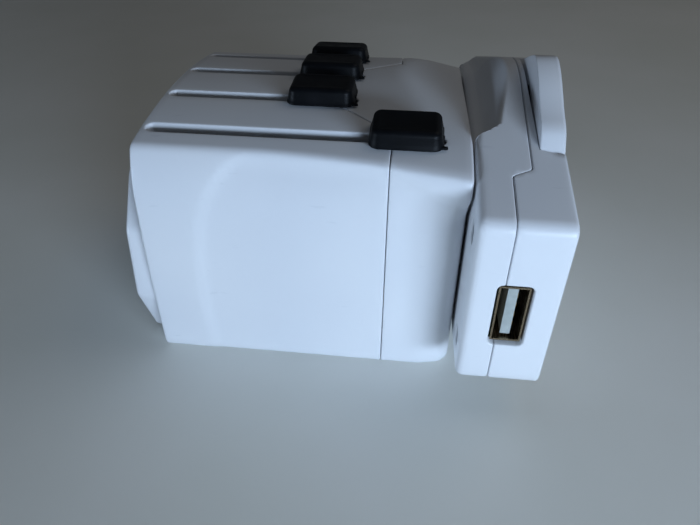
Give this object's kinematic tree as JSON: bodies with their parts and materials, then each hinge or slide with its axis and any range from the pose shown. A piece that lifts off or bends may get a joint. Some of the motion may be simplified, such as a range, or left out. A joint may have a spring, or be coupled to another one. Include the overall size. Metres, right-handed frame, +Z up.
{
  "type": "travel adapter",
  "caption": "Block-shaped travel adapter with slide-out wall plugs worked by top buttons and a wider pull-off charger module with a USB port.",
  "frame": {"origin": "middle of the whole object's outline, in the plane of the table it lies on", "axes": "+X from the wall end to the charger module, +Z up through the slider buttons, -Y out of the USB port"},
  "size_m": [0.087, 0.086, 0.0602],
  "materials": {
    "white_case": "satin",
    "black_slider": "matte",
    "carriage_plastic": "matte",
    "nickel_brass": "polished",
    "contact_brass": "stamped",
    "fuse_ceramic": "glazed",
    "steel": "drawn",
    "usb_tongue_plastic": "moulded",
    "board_laminate": "lacquered",
    "transformer_tape": "taped",
    "capacitor_can": "sleeved",
    "chip_resin": "moulded"
  },
  "bodies": {
    "adapter_body": {"main_sleeve": "white_case", "end_cap": "white_case", "face_plate": "white_case", "divider": "carriage_plastic", "live_rail": "contact_brass", "neutral_rail": "contact_brass", "earth_strip": "contact_brass", "fuse": "fuse_ceramic", "fuse_clips": "contact_brass"},
    "uk_slider": {"uk_slider_button": "black_slider", "uk_carriage": "carriage_plastic", "uk_pins": "nickel_brass"},
    "us_slider": {"us_slider_button": "black_slider", "us_carriage": "carriage_plastic", "us_pins": "nickel_brass"},
    "australia_slider": {"australia_slider_button": "black_slider", "australia_carriage": "carriage_plastic", "australia_pins": "nickel_brass"},
    "europe_slider": {"europe_slider_button": "black_slider", "europe_carriage": "carriage_plastic", "europe_pins": "nickel_brass"},
    "charger_module": {"module_rear_shell": "white_case", "module_front_shell": "white_case", "end_disc": "white_case", "usb_shell": "steel", "usb_tongue": "usb_tongue_plastic", "usb_contacts": "contact_brass", "circuit_board": "board_laminate", "transformer": "transformer_tape", "input_capacitor": "capacitor_can", "output_capacitor": "capacitor_can", "controller_chip": "chip_resin", "bridge_rectifier": "chip_resin", "module_pins": "nickel_brass", "pin_holder": "carriage_plastic", "module_screws": "steel"}
  },
  "joints": [
    {"name": "uk_slide", "type": "slide", "parent": "adapter_body", "child": "uk_slider", "axis": [-1, 0, 0], "range_m": [0, 0.04425]},
    {"name": "us_slide", "type": "slide", "parent": "adapter_body", "child": "us_slider", "axis": [-1, 0, 0], "range_m": [0, 0.02595]},
    {"name": "australia_slide", "type": "slide", "parent": "adapter_body", "child": "australia_slider", "axis": [-1, 0, 0], "range_m": [0, 0.02595]},
    {"name": "europe_slide", "type": "slide", "parent": "adapter_body", "child": "europe_slider", "axis": [-1, 0, 0], "range_m": [0, 0.02595]},
    {"name": "module_pull", "type": "slide", "parent": "adapter_body", "child": "charger_module", "axis": [1, 0, 0], "range_m": [0, 0.025]}
  ]
}
